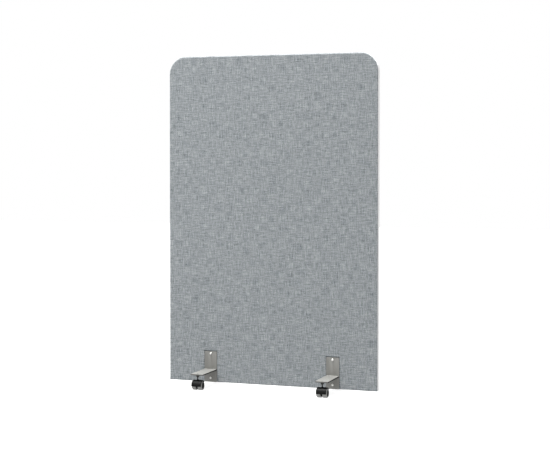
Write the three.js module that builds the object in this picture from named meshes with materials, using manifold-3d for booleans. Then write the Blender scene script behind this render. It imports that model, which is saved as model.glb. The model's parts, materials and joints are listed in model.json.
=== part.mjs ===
// Free-standing fabric privacy screen on four bracket feet with twin-wheel swivel casters.
// Units are millimetres. +X runs along the panel (right as seen from the front), the front
// face looks toward -Y, +Z is up. The origin is on the floor under the middle of the panel.

import * as THREE from 'three';
import { mergeVertices } from 'three/addons/utils/BufferGeometryUtils.js';
import Module from 'manifold-3d';

// ---------------------------------------------------------------- driving dimensions
// Suffixes: _W width, _H height, _T thickness, _D diameter, _R radius, _AF across flats.

// panel
const PANEL_W = 1000;          // over the edge band
const PANEL_H = 1500;          // over the edge band
const PANEL_T = 28;            // over the two fabric covers
const FLOOR_GAP = 13;          // floor to the panel's lower edge
const CORNER_R = 80;           // the two upper corners
const COVER_T = 2;             // fabric cover, with its wadding
const COVER_INSET = 0.6;       // the cover stops this far inside the band's outer face
const COVER_BEVEL = 1.3;       // width of the sloping rim of the cover
const COVER_BEVEL_DROP = COVER_BEVEL * 0.9;   // depth of the same rim
const BAND_T = 2;              // edge band, measured into the panel
const FELT_T = 2.8;            // frame face to the felt's outer face
const CORE_T = 18;             // frame and infill
const LAYER_GAP = 0.1;         // clearance between the layers of the panel
const STILE_W = 45;
const TOP_RAIL_H = 45;
const CORNER_BLOCK = 95;       // square the rounded corner blocks are cut from
const BLOCK_CHAMFER = 14;      // across the inner corner of each block
const BOTTOM_RAIL_H = 150;     // panel's lower edge to the top of the rail with the screws
const FIT = 0.3;               // clearance between pieces that lie against each other

// bracket feet
const BRACKET_X = 294;         // bracket centre lines, left and right of the middle
const PLATE_W = 60;            // both plates
const BACK_T = 4;              // back plate
const BACK_H = 142;            // back plate, flush with the panel's lower edge
const FOOT_T = 5;              // foot plate
const FOOT_REACH = 171.5;      // panel face to the foot plate's outer edge
const FOOT_TOP = 59.5;         // panel's lower edge to the top of the foot plate
const PLATE_CORNER_R = 3;
const STEEL_GAP = 0.05;        // clearance on each face of the back plate
const WELD_LEG = 2.6;          // leg of the fillet weld between the two plates
const WELD_SINK = 0.6;         // depth the weld reaches into the foot plate
const WELD_EDGE = 0.12;        // thickness left at the weld's two toes
const WELD_THROAT = 0.42;      // hollow of the weld face, as a share of the leg
const WELD_END_INSET = 3;      // the weld stops this far inside each side of the plate

// through screws, M6 button head with a sleeve nut on the other side
const SCREW_HEIGHTS = { lower: 18.5, upper: 131.5 };   // above the panel's lower edge
const HEAD_D = 10.5;
const HEAD_H = 3.3;
const HEAD_OVERLAP = 0.4;      // length of shank buried in the head
const SOCKET_AF = 4;
const SOCKET_DEPTH = 1.9;
const SCREW_SHANK_D = 5.6;
const SCREW_LENGTH = 29;       // under the head
const SLEEVE_D = 8;
const SLEEVE_LENGTH = 26;      // under the head
const SLEEVE_BORE_D = 6.6;
const SLEEVE_END_T = 1.2;      // solid length between the head and the bore
const PLATE_HOLE_D = 9;
const PANEL_HOLE_D = 10;

// twin-wheel casters
const STEM_INSET = 14.5;       // foot plate's outer edge to the stem axis
const TRAIL = 3;               // stem axis to wheel axle
const WHEEL_D = 40;
const WHEEL_IN = 4.7;          // inner wheel face, from the caster's mid-plane
const WHEEL_OUT = 25;          // outer wheel face, from the same plane
const SHOULDER = 19.6;         // where the tread starts to round over, from the same plane
const WHEEL_CORE_D = 30.6;     // wheel core, its outer end showing as a round cap
const TREAD_GAP = 0.15;        // between core and tread
const CAP_DOME = 0.5;          // crown of the cap
const CORE_BORE_END = 19.3;    // blind end of the core's bore, from the mid-plane
const AXLE_D = 5;
const AXLE_HALF = 18.8;        // half the axle's length
const AXLE_BORE_D = 5.6;
const HOOD_W = 47;             // over both wheels
const HOOD_INNER_R = 22.4;
const HOOD_OUTER_R = 25.5;
const HOOD_FROM = THREE.MathUtils.degToRad(34);   // about the axle, upward from +Y
const HOOD_TO = THREE.MathUtils.degToRad(184);
const WEB_HALF = 4.1;          // half width of the hood's web between the wheels
const WEB_R = 16.5;            // the web's lower edge, about the axle
const WEB_INSET = 0.5;         // the web's upper edge, inside the hood's outer face
const WEB_LOW_DEGREES = [202, 225, 248, 270, 292, 315, 338, 360];   // lower edge corners
const BOSS_D = 8.6;
const BOSS_FOOT = 43;
const BOSS_TOP = 49;
const STEM_D = 8;
const STEM_JOURNAL_D = 5.6;
const STEM_BORE_D = 6.4;
const STEM_LOW_Z = 29;
const STEM_BORE_EXTRA = 0.6;   // the bore runs this far below the stem
const STEM_TOP_DROP = 0.5;     // foot plate's top to the stem's top
const COLLAR_D = 12;
const COLLAR_T = 1.2;
const COLLAR_TAPER = 0.6;      // height of the cone under the collar
const NUT_AF = 13;
const NUT_H = 8;
const NUT_BORE_D = 8.8;
const NUT_GAP = 0.1;           // above and below the lock nut

// modelling
const OVERRUN = 1;             // cutters run this far past what they cut
const SAME_POINT = 1e-6;       // outline points closer than this are one
const QUARTER = Math.PI / 2;
const ROUND_SEGMENTS = { wheel: 20, nut: 14, boss: 14, rod: 12, panelHole: 8 };
const CURVE_SEGMENTS = { hood: 10, band: 9, cover: 6, block: 6, felt: 5, plate: 3 };   // per arc

// ---------------------------------------------------------------- materials
const FABRIC = { color: 0x999ea1, roughness: 0.95 };
const FELT = { color: 0xb9bab8, roughness: 1 };
const WOOD = { color: 0xc9aa7b, roughness: 0.75 };
const INFILL = { color: 0xd8d4c8, roughness: 1 };
const BAND = { color: 0xe9eaea, roughness: 0.45 };
const STEEL = { color: 0xb4b4ad, roughness: 0.42, metalness: 0.6 };
const ZINC = { color: 0xd9d9d4, roughness: 0.28, metalness: 0.9 };
const BLACK = { color: 0x1b1c1c, roughness: 0.4 };
const STEM_STEEL = { color: 0x8b8b88, roughness: 0.38, metalness: 0.8 };
const TREAD = { color: 0x7d7f7e, roughness: 0.75 };

// ---------------------------------------------------------------- solid modelling
const wasm = await Module();
wasm.setup();

// one closed, indexed, position-only geometry
function clean(source) {
  const geometry = source.clone();
  for (const name of Object.keys(geometry.attributes)) {
    if (name !== 'position') geometry.deleteAttribute(name);
  }
  return mergeVertices(geometry.index ? geometry.toNonIndexed() : geometry, 1e-4);
}

// a manifold solid, without the triangles that merging has collapsed
function toSolid(source) {
  const geometry = clean(source);
  const index = geometry.index.array;
  const triangles = [];
  for (let i = 0; i < index.length; i += 3) {
    const [a, b, c] = [index[i], index[i + 1], index[i + 2]];
    if (a !== b && b !== c && a !== c) triangles.push(a, b, c);
  }
  return new wasm.Manifold(new wasm.Mesh({
    numProp: 3,
    vertProperties: new Float32Array(geometry.attributes.position.array),
    triVerts: new Uint32Array(triangles),
  }));
}

function toGeometry(solid) {
  const mesh = solid.getMesh();
  const geometry = new THREE.BufferGeometry();
  geometry.setAttribute('position', new THREE.Float32BufferAttribute(mesh.vertProperties, 3));
  geometry.setIndex(new THREE.Uint32BufferAttribute(mesh.triVerts, 1));
  return geometry;
}

const join = (...parts) => toGeometry(parts.map(toSolid).reduce((a, b) => a.add(b)));
const cut = (body, ...tools) =>
  toGeometry(tools.map(toSolid).reduce((a, b) => a.subtract(b), toSolid(body)));

// ---------------------------------------------------------------- shape helpers
function boxBetween(x0, x1, y0, y1, z0, z1) {
  return new THREE.BoxGeometry(x1 - x0, y1 - y0, z1 - z0)
    .translate((x0 + x1) / 2, (y0 + y1) / 2, (z0 + z1) / 2);
}

// a round bar along 'x', 'y' or 'z' between two stations
function bar(axis, diameter, from, to, segments) {
  const geometry = new THREE.CylinderGeometry(diameter / 2, diameter / 2, to - from, segments)
    .translate(0, (from + to) / 2, 0);
  if (axis === 'z') geometry.rotateX(QUARTER);
  if (axis === 'x') geometry.rotateZ(-QUARTER);
  return geometry;
}

// a hexagonal bar along Z
function hexBar(acrossFlats, z0, z1) {
  const radius = acrossFlats / Math.sqrt(3);
  return new THREE.CylinderGeometry(radius, radius, z1 - z0, 6)
    .rotateX(QUARTER)
    .translate(0, 0, (z0 + z1) / 2);
}

// a turned piece about +Z from [radius, height] stations
function turned(stations, segments) {
  const points = stations.map(([radius, height]) => new THREE.Vector2(radius, height));
  return new THREE.LatheGeometry(points, segments).rotateX(QUARTER);
}

const polygon = points => new THREE.Shape(points.map(([x, y]) => new THREE.Vector2(x, y)));

const extruded = (shape, depth, curveSegments) =>
  new THREE.ExtrudeGeometry(shape, { depth, bevelEnabled: false, curveSegments });

// an outline in the XZ plane, extruded along Y
const slabY = (shape, y0, y1, curveSegments) =>
  extruded(shape, y1 - y0, curveSegments).rotateX(QUARTER).translate(0, y1, 0);

// an outline in the YZ plane, extruded along X about the middle
function slabX(shape, width, curveSegments) {
  const axes = new THREE.Matrix4().makeBasis(
    new THREE.Vector3(0, 1, 0), new THREE.Vector3(0, 0, 1), new THREE.Vector3(1, 0, 0));
  return extruded(shape, width, curveSegments).applyMatrix4(axes).translate(-width / 2, 0, 0);
}

// panel outline with two rounded upper corners, inset evenly all round
function panelShape(inset) {
  const x = PANEL_W / 2 - inset;
  const low = FLOOR_GAP + inset;
  const top = FLOOR_GAP + PANEL_H - inset;
  const r = CORNER_R - inset;
  const shape = new THREE.Shape();
  shape.moveTo(-x, low);
  shape.lineTo(x, low);
  shape.lineTo(x, top - r);
  shape.absarc(x - r, top - r, r, 0, QUARTER, false);
  shape.lineTo(-x + r, top);
  shape.absarc(-x + r, top - r, r, QUARTER, Math.PI, false);
  shape.lineTo(-x, low);
  return shape;
}

// cutters for the four screw holes through a panel layer
const screwHoles = (y0, y1) => [-1, 1].flatMap(side =>
  Object.values(SCREW_HEIGHTS).map(height =>
    bar('y', PANEL_HOLE_D, y0 - OVERRUN, y1 + OVERRUN, ROUND_SEGMENTS.panelHole)
      .translate(side * BRACKET_X, 0, FLOOR_GAP + height)));

// ---------------------------------------------------------------- the assembly
const screen = new THREE.Group();
screen.name = 'privacy_screen';

function piece(parent, name, source, finish) {
  const geometry = clean(source);
  geometry.computeVertexNormals();
  const mesh = new THREE.Mesh(geometry, new THREE.MeshStandardMaterial(finish));
  mesh.name = name;
  parent.add(mesh);
  return mesh;
}

// ---------------------------------------------------------------- panel
// Front fabric cover: a flat sheet whose rim leans back toward the edge band.
function coverGeometry() {
  const outer = PANEL_T / 2;
  const inner = outer - COVER_T;
  const outline = inset => panelShape(inset).getPoints(CURVE_SEGMENTS.cover)
    .filter((p, i, all) => p.distanceTo(all[(i + 1) % all.length]) > SAME_POINT);
  const face = outline(COVER_INSET + COVER_BEVEL);
  const rim = outline(COVER_INSET);
  const count = face.length;
  // [outline, distance from the panel's mid-plane]
  const levels = [[face, outer], [rim, outer - COVER_BEVEL_DROP], [rim, inner]];
  const positions = levels.flatMap(([ring, y]) => ring.flatMap(p => [p.x, -y, p.y]));
  const index = [];
  for (let level = 0; level < levels.length - 1; level++) {
    for (let i = 0; i < count; i++) {
      const a = level * count + i;
      const b = level * count + (i + 1) % count;
      index.push(a, a + count, b, b, a + count, b + count);
    }
  }
  index.push(...THREE.ShapeUtils.triangulateShape(face, []).flat());
  const backStart = 2 * count;
  for (const [i, j, k] of THREE.ShapeUtils.triangulateShape(rim, [])) {
    index.push(backStart + i, backStart + k, backStart + j);
  }
  const sheet = new THREE.BufferGeometry();
  sheet.setAttribute('position', new THREE.Float32BufferAttribute(positions, 3));
  sheet.setIndex(index);
  return cut(sheet, ...screwHoles(-outer, -inner));
}

function feltGeometry(side) {
  const near = CORE_T / 2 + LAYER_GAP;
  const far = CORE_T / 2 + FELT_T;
  const [y0, y1] = side < 0 ? [-far, -near] : [near, far];
  const sheet = slabY(panelShape(BAND_T + FIT), y0, y1, CURVE_SEGMENTS.felt);
  return cut(sheet, ...screwHoles(y0, y1));
}

// one strip bent round the whole outline
function bandGeometry() {
  const half = PANEL_T / 2 - COVER_T - LAYER_GAP;
  const shape = panelShape(0);
  shape.holes.push(panelShape(BAND_T));
  return slabY(shape, -half, half, CURVE_SEGMENTS.band);
}

// frame and infill lines, shared by the pieces inside the band
const coreHalf = CORE_T / 2;
const frameInset = BAND_T + FIT;
const frameX = PANEL_W / 2 - frameInset;
const frameLow = FLOOR_GAP + frameInset;
const frameTop = FLOOR_GAP + PANEL_H - frameInset;
const bottomRailTop = FLOOR_GAP + BOTTOM_RAIL_H;
const topRailLow = frameTop - TOP_RAIL_H;
const stileX = frameX - STILE_W;             // inner faces of the stiles
const blockX = frameX - CORNER_BLOCK;        // inner ends of the corner blocks
const blockLow = frameTop - CORNER_BLOCK;

function stileGeometry(side) {
  const [x0, x1] = side < 0 ? [-frameX, -stileX] : [stileX, frameX];
  return boxBetween(x0, x1, -coreHalf, coreHalf, bottomRailTop + FIT, blockLow - FIT);
}

// Corner block: quarter-round outside, with an arm along the stile and one along the rail.
function cornerBlockGeometry(side) {
  const r = CORNER_R - frameInset;
  const shape = new THREE.Shape();
  shape.moveTo(frameX, blockLow);
  shape.lineTo(frameX, frameTop - r);
  shape.absarc(frameX - r, frameTop - r, r, 0, QUARTER, false);
  shape.lineTo(blockX, frameTop);
  shape.lineTo(blockX, topRailLow);
  shape.lineTo(stileX - BLOCK_CHAMFER, topRailLow);
  shape.lineTo(stileX, topRailLow - BLOCK_CHAMFER);
  shape.lineTo(stileX, blockLow);
  shape.lineTo(frameX, blockLow);
  const block = slabY(shape, -coreHalf, coreHalf, CURVE_SEGMENTS.block);
  return side > 0 ? block : block.rotateZ(Math.PI);
}

function topRailGeometry() {
  const x = blockX - FIT;
  return boxBetween(-x, x, -coreHalf, coreHalf, topRailLow, frameTop);
}

function bottomRailGeometry() {
  const rail = boxBetween(-frameX, frameX, -coreHalf, coreHalf, frameLow, bottomRailTop);
  return cut(rail, ...screwHoles(-coreHalf, coreHalf));
}

function infillGeometry() {
  const x = stileX - FIT;
  const low = bottomRailTop + FIT;
  const top = topRailLow - FIT;
  const chamfer = BLOCK_CHAMFER + FIT;
  const shape = polygon([
    [-x, low], [x, low], [x, top - chamfer], [x - chamfer, top],
    [-x + chamfer, top], [-x, top - chamfer],
  ]);
  return slabY(shape, -coreHalf, coreHalf);
}

const SIDES = [['left', -1], ['right', 1]];

piece(screen, 'front_fabric_cover', coverGeometry(), FABRIC);
piece(screen, 'rear_fabric_cover', coverGeometry().rotateZ(Math.PI), FABRIC);
piece(screen, 'front_felt_layer', feltGeometry(-1), FELT);
piece(screen, 'rear_felt_layer', feltGeometry(1), FELT);
piece(screen, 'edge_band', bandGeometry(), BAND);
for (const [name, side] of SIDES) piece(screen, `${name}_stile`, stileGeometry(side), WOOD);
for (const [name, side] of SIDES) {
  piece(screen, `${name}_corner_block`, cornerBlockGeometry(side), WOOD);
}
piece(screen, 'top_rail', topRailGeometry(), WOOD);
piece(screen, 'bottom_rail', bottomRailGeometry(), WOOD);
piece(screen, 'acoustic_infill', infillGeometry(), INFILL);

// ---------------------------------------------------------------- bracket feet
// Feet and casters are built for a foot that reaches toward -Y; a rear foot is the same
// foot turned half a turn about the vertical.
const backPlateY = -(PANEL_T / 2 + BACK_T);           // outer face of the back plate
const footInnerY = backPlateY - STEEL_GAP;
const footOuterY = -(PANEL_T / 2 + FOOT_REACH);
const footTopZ = FLOOR_GAP + FOOT_TOP;
const footLowZ = footTopZ - FOOT_T;
const stemY = footOuterY + STEM_INSET;

function backPlate() {
  const x = PLATE_W / 2;
  const low = FLOOR_GAP;
  const top = FLOOR_GAP + BACK_H;
  const r = PLATE_CORNER_R;
  const shape = new THREE.Shape();
  shape.moveTo(-x + r, low);
  shape.lineTo(x - r, low);
  shape.absarc(x - r, low + r, r, -QUARTER, 0, false);
  shape.lineTo(x, top - r);
  shape.absarc(x - r, top - r, r, 0, QUARTER, false);
  shape.lineTo(-x + r, top);
  shape.absarc(-x + r, top - r, r, QUARTER, Math.PI, false);
  shape.lineTo(-x, low + r);
  shape.absarc(-x + r, low + r, r, Math.PI, 3 * QUARTER, false);
  const plate = slabY(shape, backPlateY, -PANEL_T / 2 - STEEL_GAP, CURVE_SEGMENTS.plate);
  const holes = Object.values(SCREW_HEIGHTS).map(height =>
    bar('y', PLATE_HOLE_D, backPlateY - OVERRUN, 0, ROUND_SEGMENTS.rod)
      .translate(0, 0, FLOOR_GAP + height));
  return cut(plate, ...holes);
}

// fillet weld at height z; up is 1 above the foot plate and -1 below it
function weld(z, up) {
  const section = polygon([
    [0, -up * WELD_SINK],
    [-WELD_LEG, -up * WELD_SINK],
    [-WELD_LEG, up * WELD_EDGE],
    [-WELD_LEG * WELD_THROAT, up * WELD_LEG * WELD_THROAT],
    [-WELD_EDGE, up * WELD_LEG],
    [0, up * WELD_LEG],
  ]);
  return slabX(section, PLATE_W - 2 * WELD_END_INSET).translate(0, footInnerY, z);
}

function footPlate() {
  const x = PLATE_W / 2;
  const r = PLATE_CORNER_R;
  const shape = new THREE.Shape();
  shape.moveTo(-x, footInnerY);
  shape.lineTo(-x, footOuterY + r);
  shape.absarc(-x + r, footOuterY + r, r, Math.PI, 3 * QUARTER, false);
  shape.lineTo(x - r, footOuterY);
  shape.absarc(x - r, footOuterY + r, r, -QUARTER, 0, false);
  shape.lineTo(x, footInnerY);
  shape.lineTo(-x, footInnerY);
  const plate = extruded(shape, FOOT_T, CURVE_SEGMENTS.plate).translate(0, 0, footLowZ);
  const stemHole = bar(
    'z', NUT_BORE_D, footLowZ - OVERRUN, footTopZ + OVERRUN, ROUND_SEGMENTS.nut,
  ).translate(0, stemY, 0);
  return cut(join(plate, weld(footTopZ, 1), weld(footLowZ, -1)), stemHole);
}

// ---------------------------------------------------------------- casters
// in a frame on the floor under the stem axis
const AXLE_Z = WHEEL_D / 2;
const nutTop = footLowZ - NUT_GAP;
const nutLow = nutTop - NUT_H;

function stemGeometry() {
  const collarTop = nutLow - NUT_GAP;
  const collarLow = collarTop - COLLAR_T;
  const stemTop = footTopZ - STEM_TOP_DROP;
  return turned([
    [0, STEM_LOW_Z],
    [STEM_JOURNAL_D / 2, STEM_LOW_Z],
    [STEM_JOURNAL_D / 2, collarLow - COLLAR_TAPER],
    [COLLAR_D / 2, collarLow],
    [COLLAR_D / 2, collarTop],
    [STEM_D / 2, collarTop],
    [STEM_D / 2, stemTop],
    [0, stemTop],
  ], ROUND_SEGMENTS.rod);
}

function nutGeometry() {
  const bore = bar('z', NUT_BORE_D, nutLow - OVERRUN, nutTop + OVERRUN, ROUND_SEGMENTS.nut);
  return cut(hexBar(NUT_AF, nutLow, nutTop), bore);
}

// Hood: a curved fender over both wheels, a web between them and a boss round the stem.
function hoodGeometry() {
  const fenderShape = new THREE.Shape();
  fenderShape.absarc(TRAIL, AXLE_Z, HOOD_OUTER_R, HOOD_FROM, HOOD_TO, false);
  fenderShape.absarc(TRAIL, AXLE_Z, HOOD_INNER_R, HOOD_TO, HOOD_FROM, true);

  const webShape = new THREE.Shape();
  webShape.absarc(TRAIL, AXLE_Z, HOOD_OUTER_R - WEB_INSET, HOOD_FROM, HOOD_TO, false);
  for (const angle of WEB_LOW_DEGREES.map(THREE.MathUtils.degToRad)) {
    webShape.lineTo(TRAIL + WEB_R * Math.cos(angle), AXLE_Z + WEB_R * Math.sin(angle));
  }

  const fender = slabX(fenderShape, HOOD_W, CURVE_SEGMENTS.hood);
  const web = slabX(webShape, WEB_HALF * 2, CURVE_SEGMENTS.hood);
  const boss = turned([
    [0, BOSS_FOOT], [7.5, BOSS_FOOT], [6.6, 45.4],
    [BOSS_D / 2, 46.6], [BOSS_D / 2, BOSS_TOP], [0, BOSS_TOP],
  ], ROUND_SEGMENTS.boss);
  const stemBore = bar(
    'z', STEM_BORE_D, STEM_LOW_Z - STEM_BORE_EXTRA, BOSS_TOP + OVERRUN, ROUND_SEGMENTS.rod);
  const axleBore = bar('x', AXLE_BORE_D, -HOOD_W, HOOD_W, ROUND_SEGMENTS.rod)
    .translate(0, TRAIL, AXLE_Z);
  return cut(join(fender, web, boss), stemBore, axleBore);
}

// The axle and wheel pieces are turned about +Z, with heights from the caster's mid-plane.
function axleGeometry() {
  const r = AXLE_D / 2;
  return turned(
    [[0, -AXLE_HALF], [r, -AXLE_HALF], [r, AXLE_HALF], [0, AXLE_HALF]], ROUND_SEGMENTS.rod);
}

function wheelCore() {
  const bore = AXLE_BORE_D / 2;
  const r = WHEEL_CORE_D / 2;
  return turned([
    [0, CORE_BORE_END], [bore, CORE_BORE_END],
    [bore, WHEEL_IN + 0.2], [6, WHEEL_IN + 0.2],
    [6.4, WHEEL_IN + 0.9], [r, WHEEL_IN + 0.9],
    [r, WHEEL_OUT], [r * 0.7, WHEEL_OUT + CAP_DOME * 0.7], [0, WHEEL_OUT + CAP_DOME],
  ], ROUND_SEGMENTS.wheel);
}

function wheelTread() {
  const inner = WHEEL_CORE_D / 2 + TREAD_GAP;
  const r = WHEEL_D / 2;
  return turned([
    [inner, WHEEL_IN], [r - 1.1, WHEEL_IN], [r, WHEEL_IN + 1.2],
    [r, SHOULDER], [r - 0.8, SHOULDER + 2.6], [r - 2.5, WHEEL_OUT - 0.7],
    [inner, WHEEL_OUT], [inner, WHEEL_IN],
  ], ROUND_SEGMENTS.wheel);
}

// lays +Z along +X or -X, on the axle
const ontoAxle = (geometry, direction) =>
  geometry.rotateY(direction * QUARTER).translate(0, TRAIL, AXLE_Z);

function addFoot(end, turn, side, sideSign) {
  const name = `${end}_${side}`;
  const foot = new THREE.Group();
  foot.rotation.z = turn;
  foot.position.x = sideSign * BRACKET_X;
  screen.add(foot);
  piece(foot, `${name}_back_plate`, backPlate(), STEEL);
  piece(foot, `${name}_foot_plate`, footPlate(), STEEL);

  const caster = new THREE.Group();
  caster.position.y = stemY;
  foot.add(caster);
  piece(caster, `${name}_caster_stem`, stemGeometry(), STEM_STEEL);
  piece(caster, `${name}_lock_nut`, nutGeometry(), STEM_STEEL);
  piece(caster, `${name}_caster_hood`, hoodGeometry(), BLACK);
  piece(caster, `${name}_axle`, ontoAxle(axleGeometry(), 1), ZINC);
  for (const direction of [-1, 1]) {
    // direction is in the foot's own frame; a rear foot is turned, so its +X points to -X
    const outward = direction * (turn ? -1 : 1) * sideSign;
    const wheel = `${name}_${outward > 0 ? 'outer' : 'inner'}_wheel`;
    piece(caster, `${wheel}_core`, ontoAxle(wheelCore(), direction), BLACK);
    piece(caster, `${wheel}_tread`, ontoAxle(wheelTread(), direction), TREAD);
  }
}

for (const [end, turn] of [['front', 0], ['rear', Math.PI]]) {
  for (const [side, sideSign] of SIDES) addFoot(end, turn, side, sideSign);
}

// ---------------------------------------------------------------- through screws
// Button head about +Z on a shank: flat underside at z = 0, hex socket in the crown.
function buttonHeaded(shankD, length, ...bores) {
  const r = HEAD_D / 2;
  const head = turned([
    [0, 0], [r, 0], [r, 0.7], [r * 0.86, 2], [r * 0.5, HEAD_H], [0, HEAD_H],
  ], ROUND_SEGMENTS.rod);
  const shank = bar('z', shankD, -length, HEAD_OVERLAP, ROUND_SEGMENTS.rod);
  const socket = hexBar(SOCKET_AF, HEAD_H - SOCKET_DEPTH, HEAD_H + OVERRUN);
  return cut(join(head, shank), socket, ...bores);
}

// head outside the front back plate, shank reaching into the sleeve nut
function screwGeometry() {
  return buttonHeaded(SCREW_SHANK_D, SCREW_LENGTH)
    .rotateX(QUARTER)
    .translate(0, backPlateY - STEEL_GAP, 0);
}

// head outside the rear back plate, hollow barrel reaching forward through the panel
function sleeveGeometry() {
  const bore = bar(
    'z', SLEEVE_BORE_D, -SLEEVE_LENGTH - OVERRUN, -SLEEVE_END_T, ROUND_SEGMENTS.rod);
  return buttonHeaded(SLEEVE_D, SLEEVE_LENGTH, bore)
    .rotateX(-QUARTER)
    .translate(0, -backPlateY + STEEL_GAP, 0);
}

for (const [side, sideSign] of SIDES) {
  for (const [level, height] of Object.entries(SCREW_HEIGHTS)) {
    const name = `${side}_${level}`;
    for (const mesh of [
      piece(screen, `${name}_screw`, screwGeometry(), ZINC),
      piece(screen, `${name}_sleeve_nut`, sleeveGeometry(), ZINC),
    ]) mesh.position.set(sideSign * BRACKET_X, 0, FLOOR_GAP + height);
  }
}

export default screen;
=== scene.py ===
"""A free-standing screen: a padded fabric panel on four bracket feet with twin-wheel casters.

The panel stands in the XZ plane, centred on X = 0 and Y = 0. Its front faces -Y, its left
is -X and the floor is Z = 0. Helpers and sizes are in mm; vertices are stored in metres.
"""
import json
import math
import bmesh
import bpy
import numpy as np
from mathutils import Matrix, Vector, geometry, noise


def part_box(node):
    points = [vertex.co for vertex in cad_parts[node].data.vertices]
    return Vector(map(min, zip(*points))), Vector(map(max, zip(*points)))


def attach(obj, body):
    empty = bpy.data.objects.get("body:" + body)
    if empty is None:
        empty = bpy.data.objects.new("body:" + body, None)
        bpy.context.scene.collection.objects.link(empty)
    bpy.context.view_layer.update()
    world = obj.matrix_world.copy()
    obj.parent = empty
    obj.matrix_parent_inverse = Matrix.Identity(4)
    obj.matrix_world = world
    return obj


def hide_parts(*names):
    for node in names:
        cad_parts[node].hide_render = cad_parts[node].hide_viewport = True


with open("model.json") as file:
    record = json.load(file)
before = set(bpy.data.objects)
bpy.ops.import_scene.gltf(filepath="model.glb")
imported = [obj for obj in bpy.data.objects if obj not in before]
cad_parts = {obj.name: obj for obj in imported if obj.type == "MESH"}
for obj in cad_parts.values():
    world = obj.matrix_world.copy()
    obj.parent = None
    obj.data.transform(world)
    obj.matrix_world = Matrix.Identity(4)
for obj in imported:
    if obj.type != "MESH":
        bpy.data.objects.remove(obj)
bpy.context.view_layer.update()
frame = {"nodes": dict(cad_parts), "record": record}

ROOT = "screen_frame"
mm = 0.001


# =====================================================================
# sizes taken from the CAD pieces
# =====================================================================
def in_mm(node):
    low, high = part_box(node)
    return np.array(low) * 1000, np.array(high) * 1000


cover_lo, cover_hi = in_mm("front_fabric_cover")
band_lo, band_hi = in_mm("edge_band")
plate_lo, plate_hi = in_mm("front_left_back_plate")
foot_lo, foot_hi = in_mm("front_left_foot_plate")
stem_lo, stem_hi = in_mm("front_left_caster_stem")
nut_lo, nut_hi = in_mm("front_left_lock_nut")
hood_lo, hood_hi = in_mm("front_left_caster_hood")
axle_lo, axle_hi = in_mm("front_left_axle")
screw_lo, screw_hi = in_mm("left_lower_screw")

# panel
CORNER_R = 80.0            # upper corners of the edge band
CLOTH_GROW = 0.5           # the cloth reaches past its CAD outline, flush with the band
PAD_SWELL = 1.0            # the padding swells this much between its clamped edges
PAD_PROUD = 3.0            # the padded face stands this far in front of the clamped plane
SCREW_HOLE_R = 5.0         # screw holes in the cloth
BAND_THICK, BAND_ARRIS = 2.0, 0.9

# bracket
FOOT_X = (plate_lo[0] + plate_hi[0]) / 2        # centre line of a left foot
PLATE_HALF = (plate_hi[0] - plate_lo[0]) / 2
PLATE_CORNER_R = 3.0
SCREW_HEIGHTS = [(in_mm(node)[0][2] + in_mm(node)[1][2]) / 2
                 for node in ("left_lower_screw", "left_upper_screw")]
SCREWS = [(x, z) for x in (FOOT_X, -FOOT_X) for z in SCREW_HEIGHTS]
# the foot plate's CAD box includes its welds, which stand above and below the plate
WELD_ALLOWANCE = 2.6
FOOT_TOP, FOOT_LOW = foot_hi[2] - WELD_ALLOWANCE, foot_lo[2] + WELD_ALLOWANCE
BEAD_LEG = 0.8
HEAD_R, HEAD_H = (screw_hi[0] - screw_lo[0]) / 2, 3.3     # button heads

# caster
STEM_Y = (stem_lo[1] + stem_hi[1]) / 2
AXLE_Y = (axle_lo[1] + axle_hi[1]) / 2
AXLE_Z = (axle_lo[2] + axle_hi[2]) / 2
WHEEL_IN, WHEEL_OUT = 4.7, 25.0     # the wheel's faces, from the caster's middle
CORE_R, WHEEL_R = 15.3, 20.0


# =====================================================================
# mesh helpers
# =====================================================================
def shade(mesh, angle, flat=False):
    """Smooth shading, split at edges sharper than angle. flat keeps axis-square faces flat."""
    mesh.polygons.foreach_set("use_smooth", [
        not (flat and max(map(abs, face.normal)) > 0.9999) for face in mesh.polygons])
    if angle is not None:
        mesh.set_sharp_from_angle(angle=math.radians(angle))
    mesh.update()


def plain_mesh(name, shape):
    """A bmesh turned into a mesh with outward normals."""
    bmesh.ops.recalc_face_normals(shape, faces=shape.faces)
    mesh = bpy.data.meshes.new(name)
    shape.to_mesh(mesh)
    shape.free()
    return mesh


def finished_mesh(name, shape, angle, flat=False):
    # cuts leave a few points that all but coincide
    bmesh.ops.remove_doubles(shape, verts=shape.verts, dist=2e-6)
    bmesh.ops.dissolve_degenerate(shape, dist=2e-6, edges=shape.edges)
    mesh = plain_mesh(name, shape)
    shade(mesh, angle, flat)
    return mesh


def add_points(shape, points):
    """New vertices at points given in mm."""
    return [shape.verts.new([c * mm for c in point]) for point in points]


def bridge(shape, first, second):
    """Faces between two closed rings; a ring of one vertex is a pole."""
    count = max(len(first), len(second))
    for i in range(count):
        j = (i + 1) % count
        if len(first) == 1:
            shape.faces.new((first[0], second[i], second[j]))
        elif len(second) == 1:
            shape.faces.new((first[i], first[j], second[0]))
        else:
            shape.faces.new((first[i], first[j], second[j], second[i]))


def capped_loft(rows):
    """Solid through rows of points, closed at both ends."""
    shape = bmesh.new()
    rings = [add_points(shape, row) for row in rows]
    for first, second in zip(rings, rings[1:]):
        bridge(shape, first, second)
    shape.faces.new(rings[0])
    shape.faces.new(list(reversed(rings[-1])))
    return shape


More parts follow.
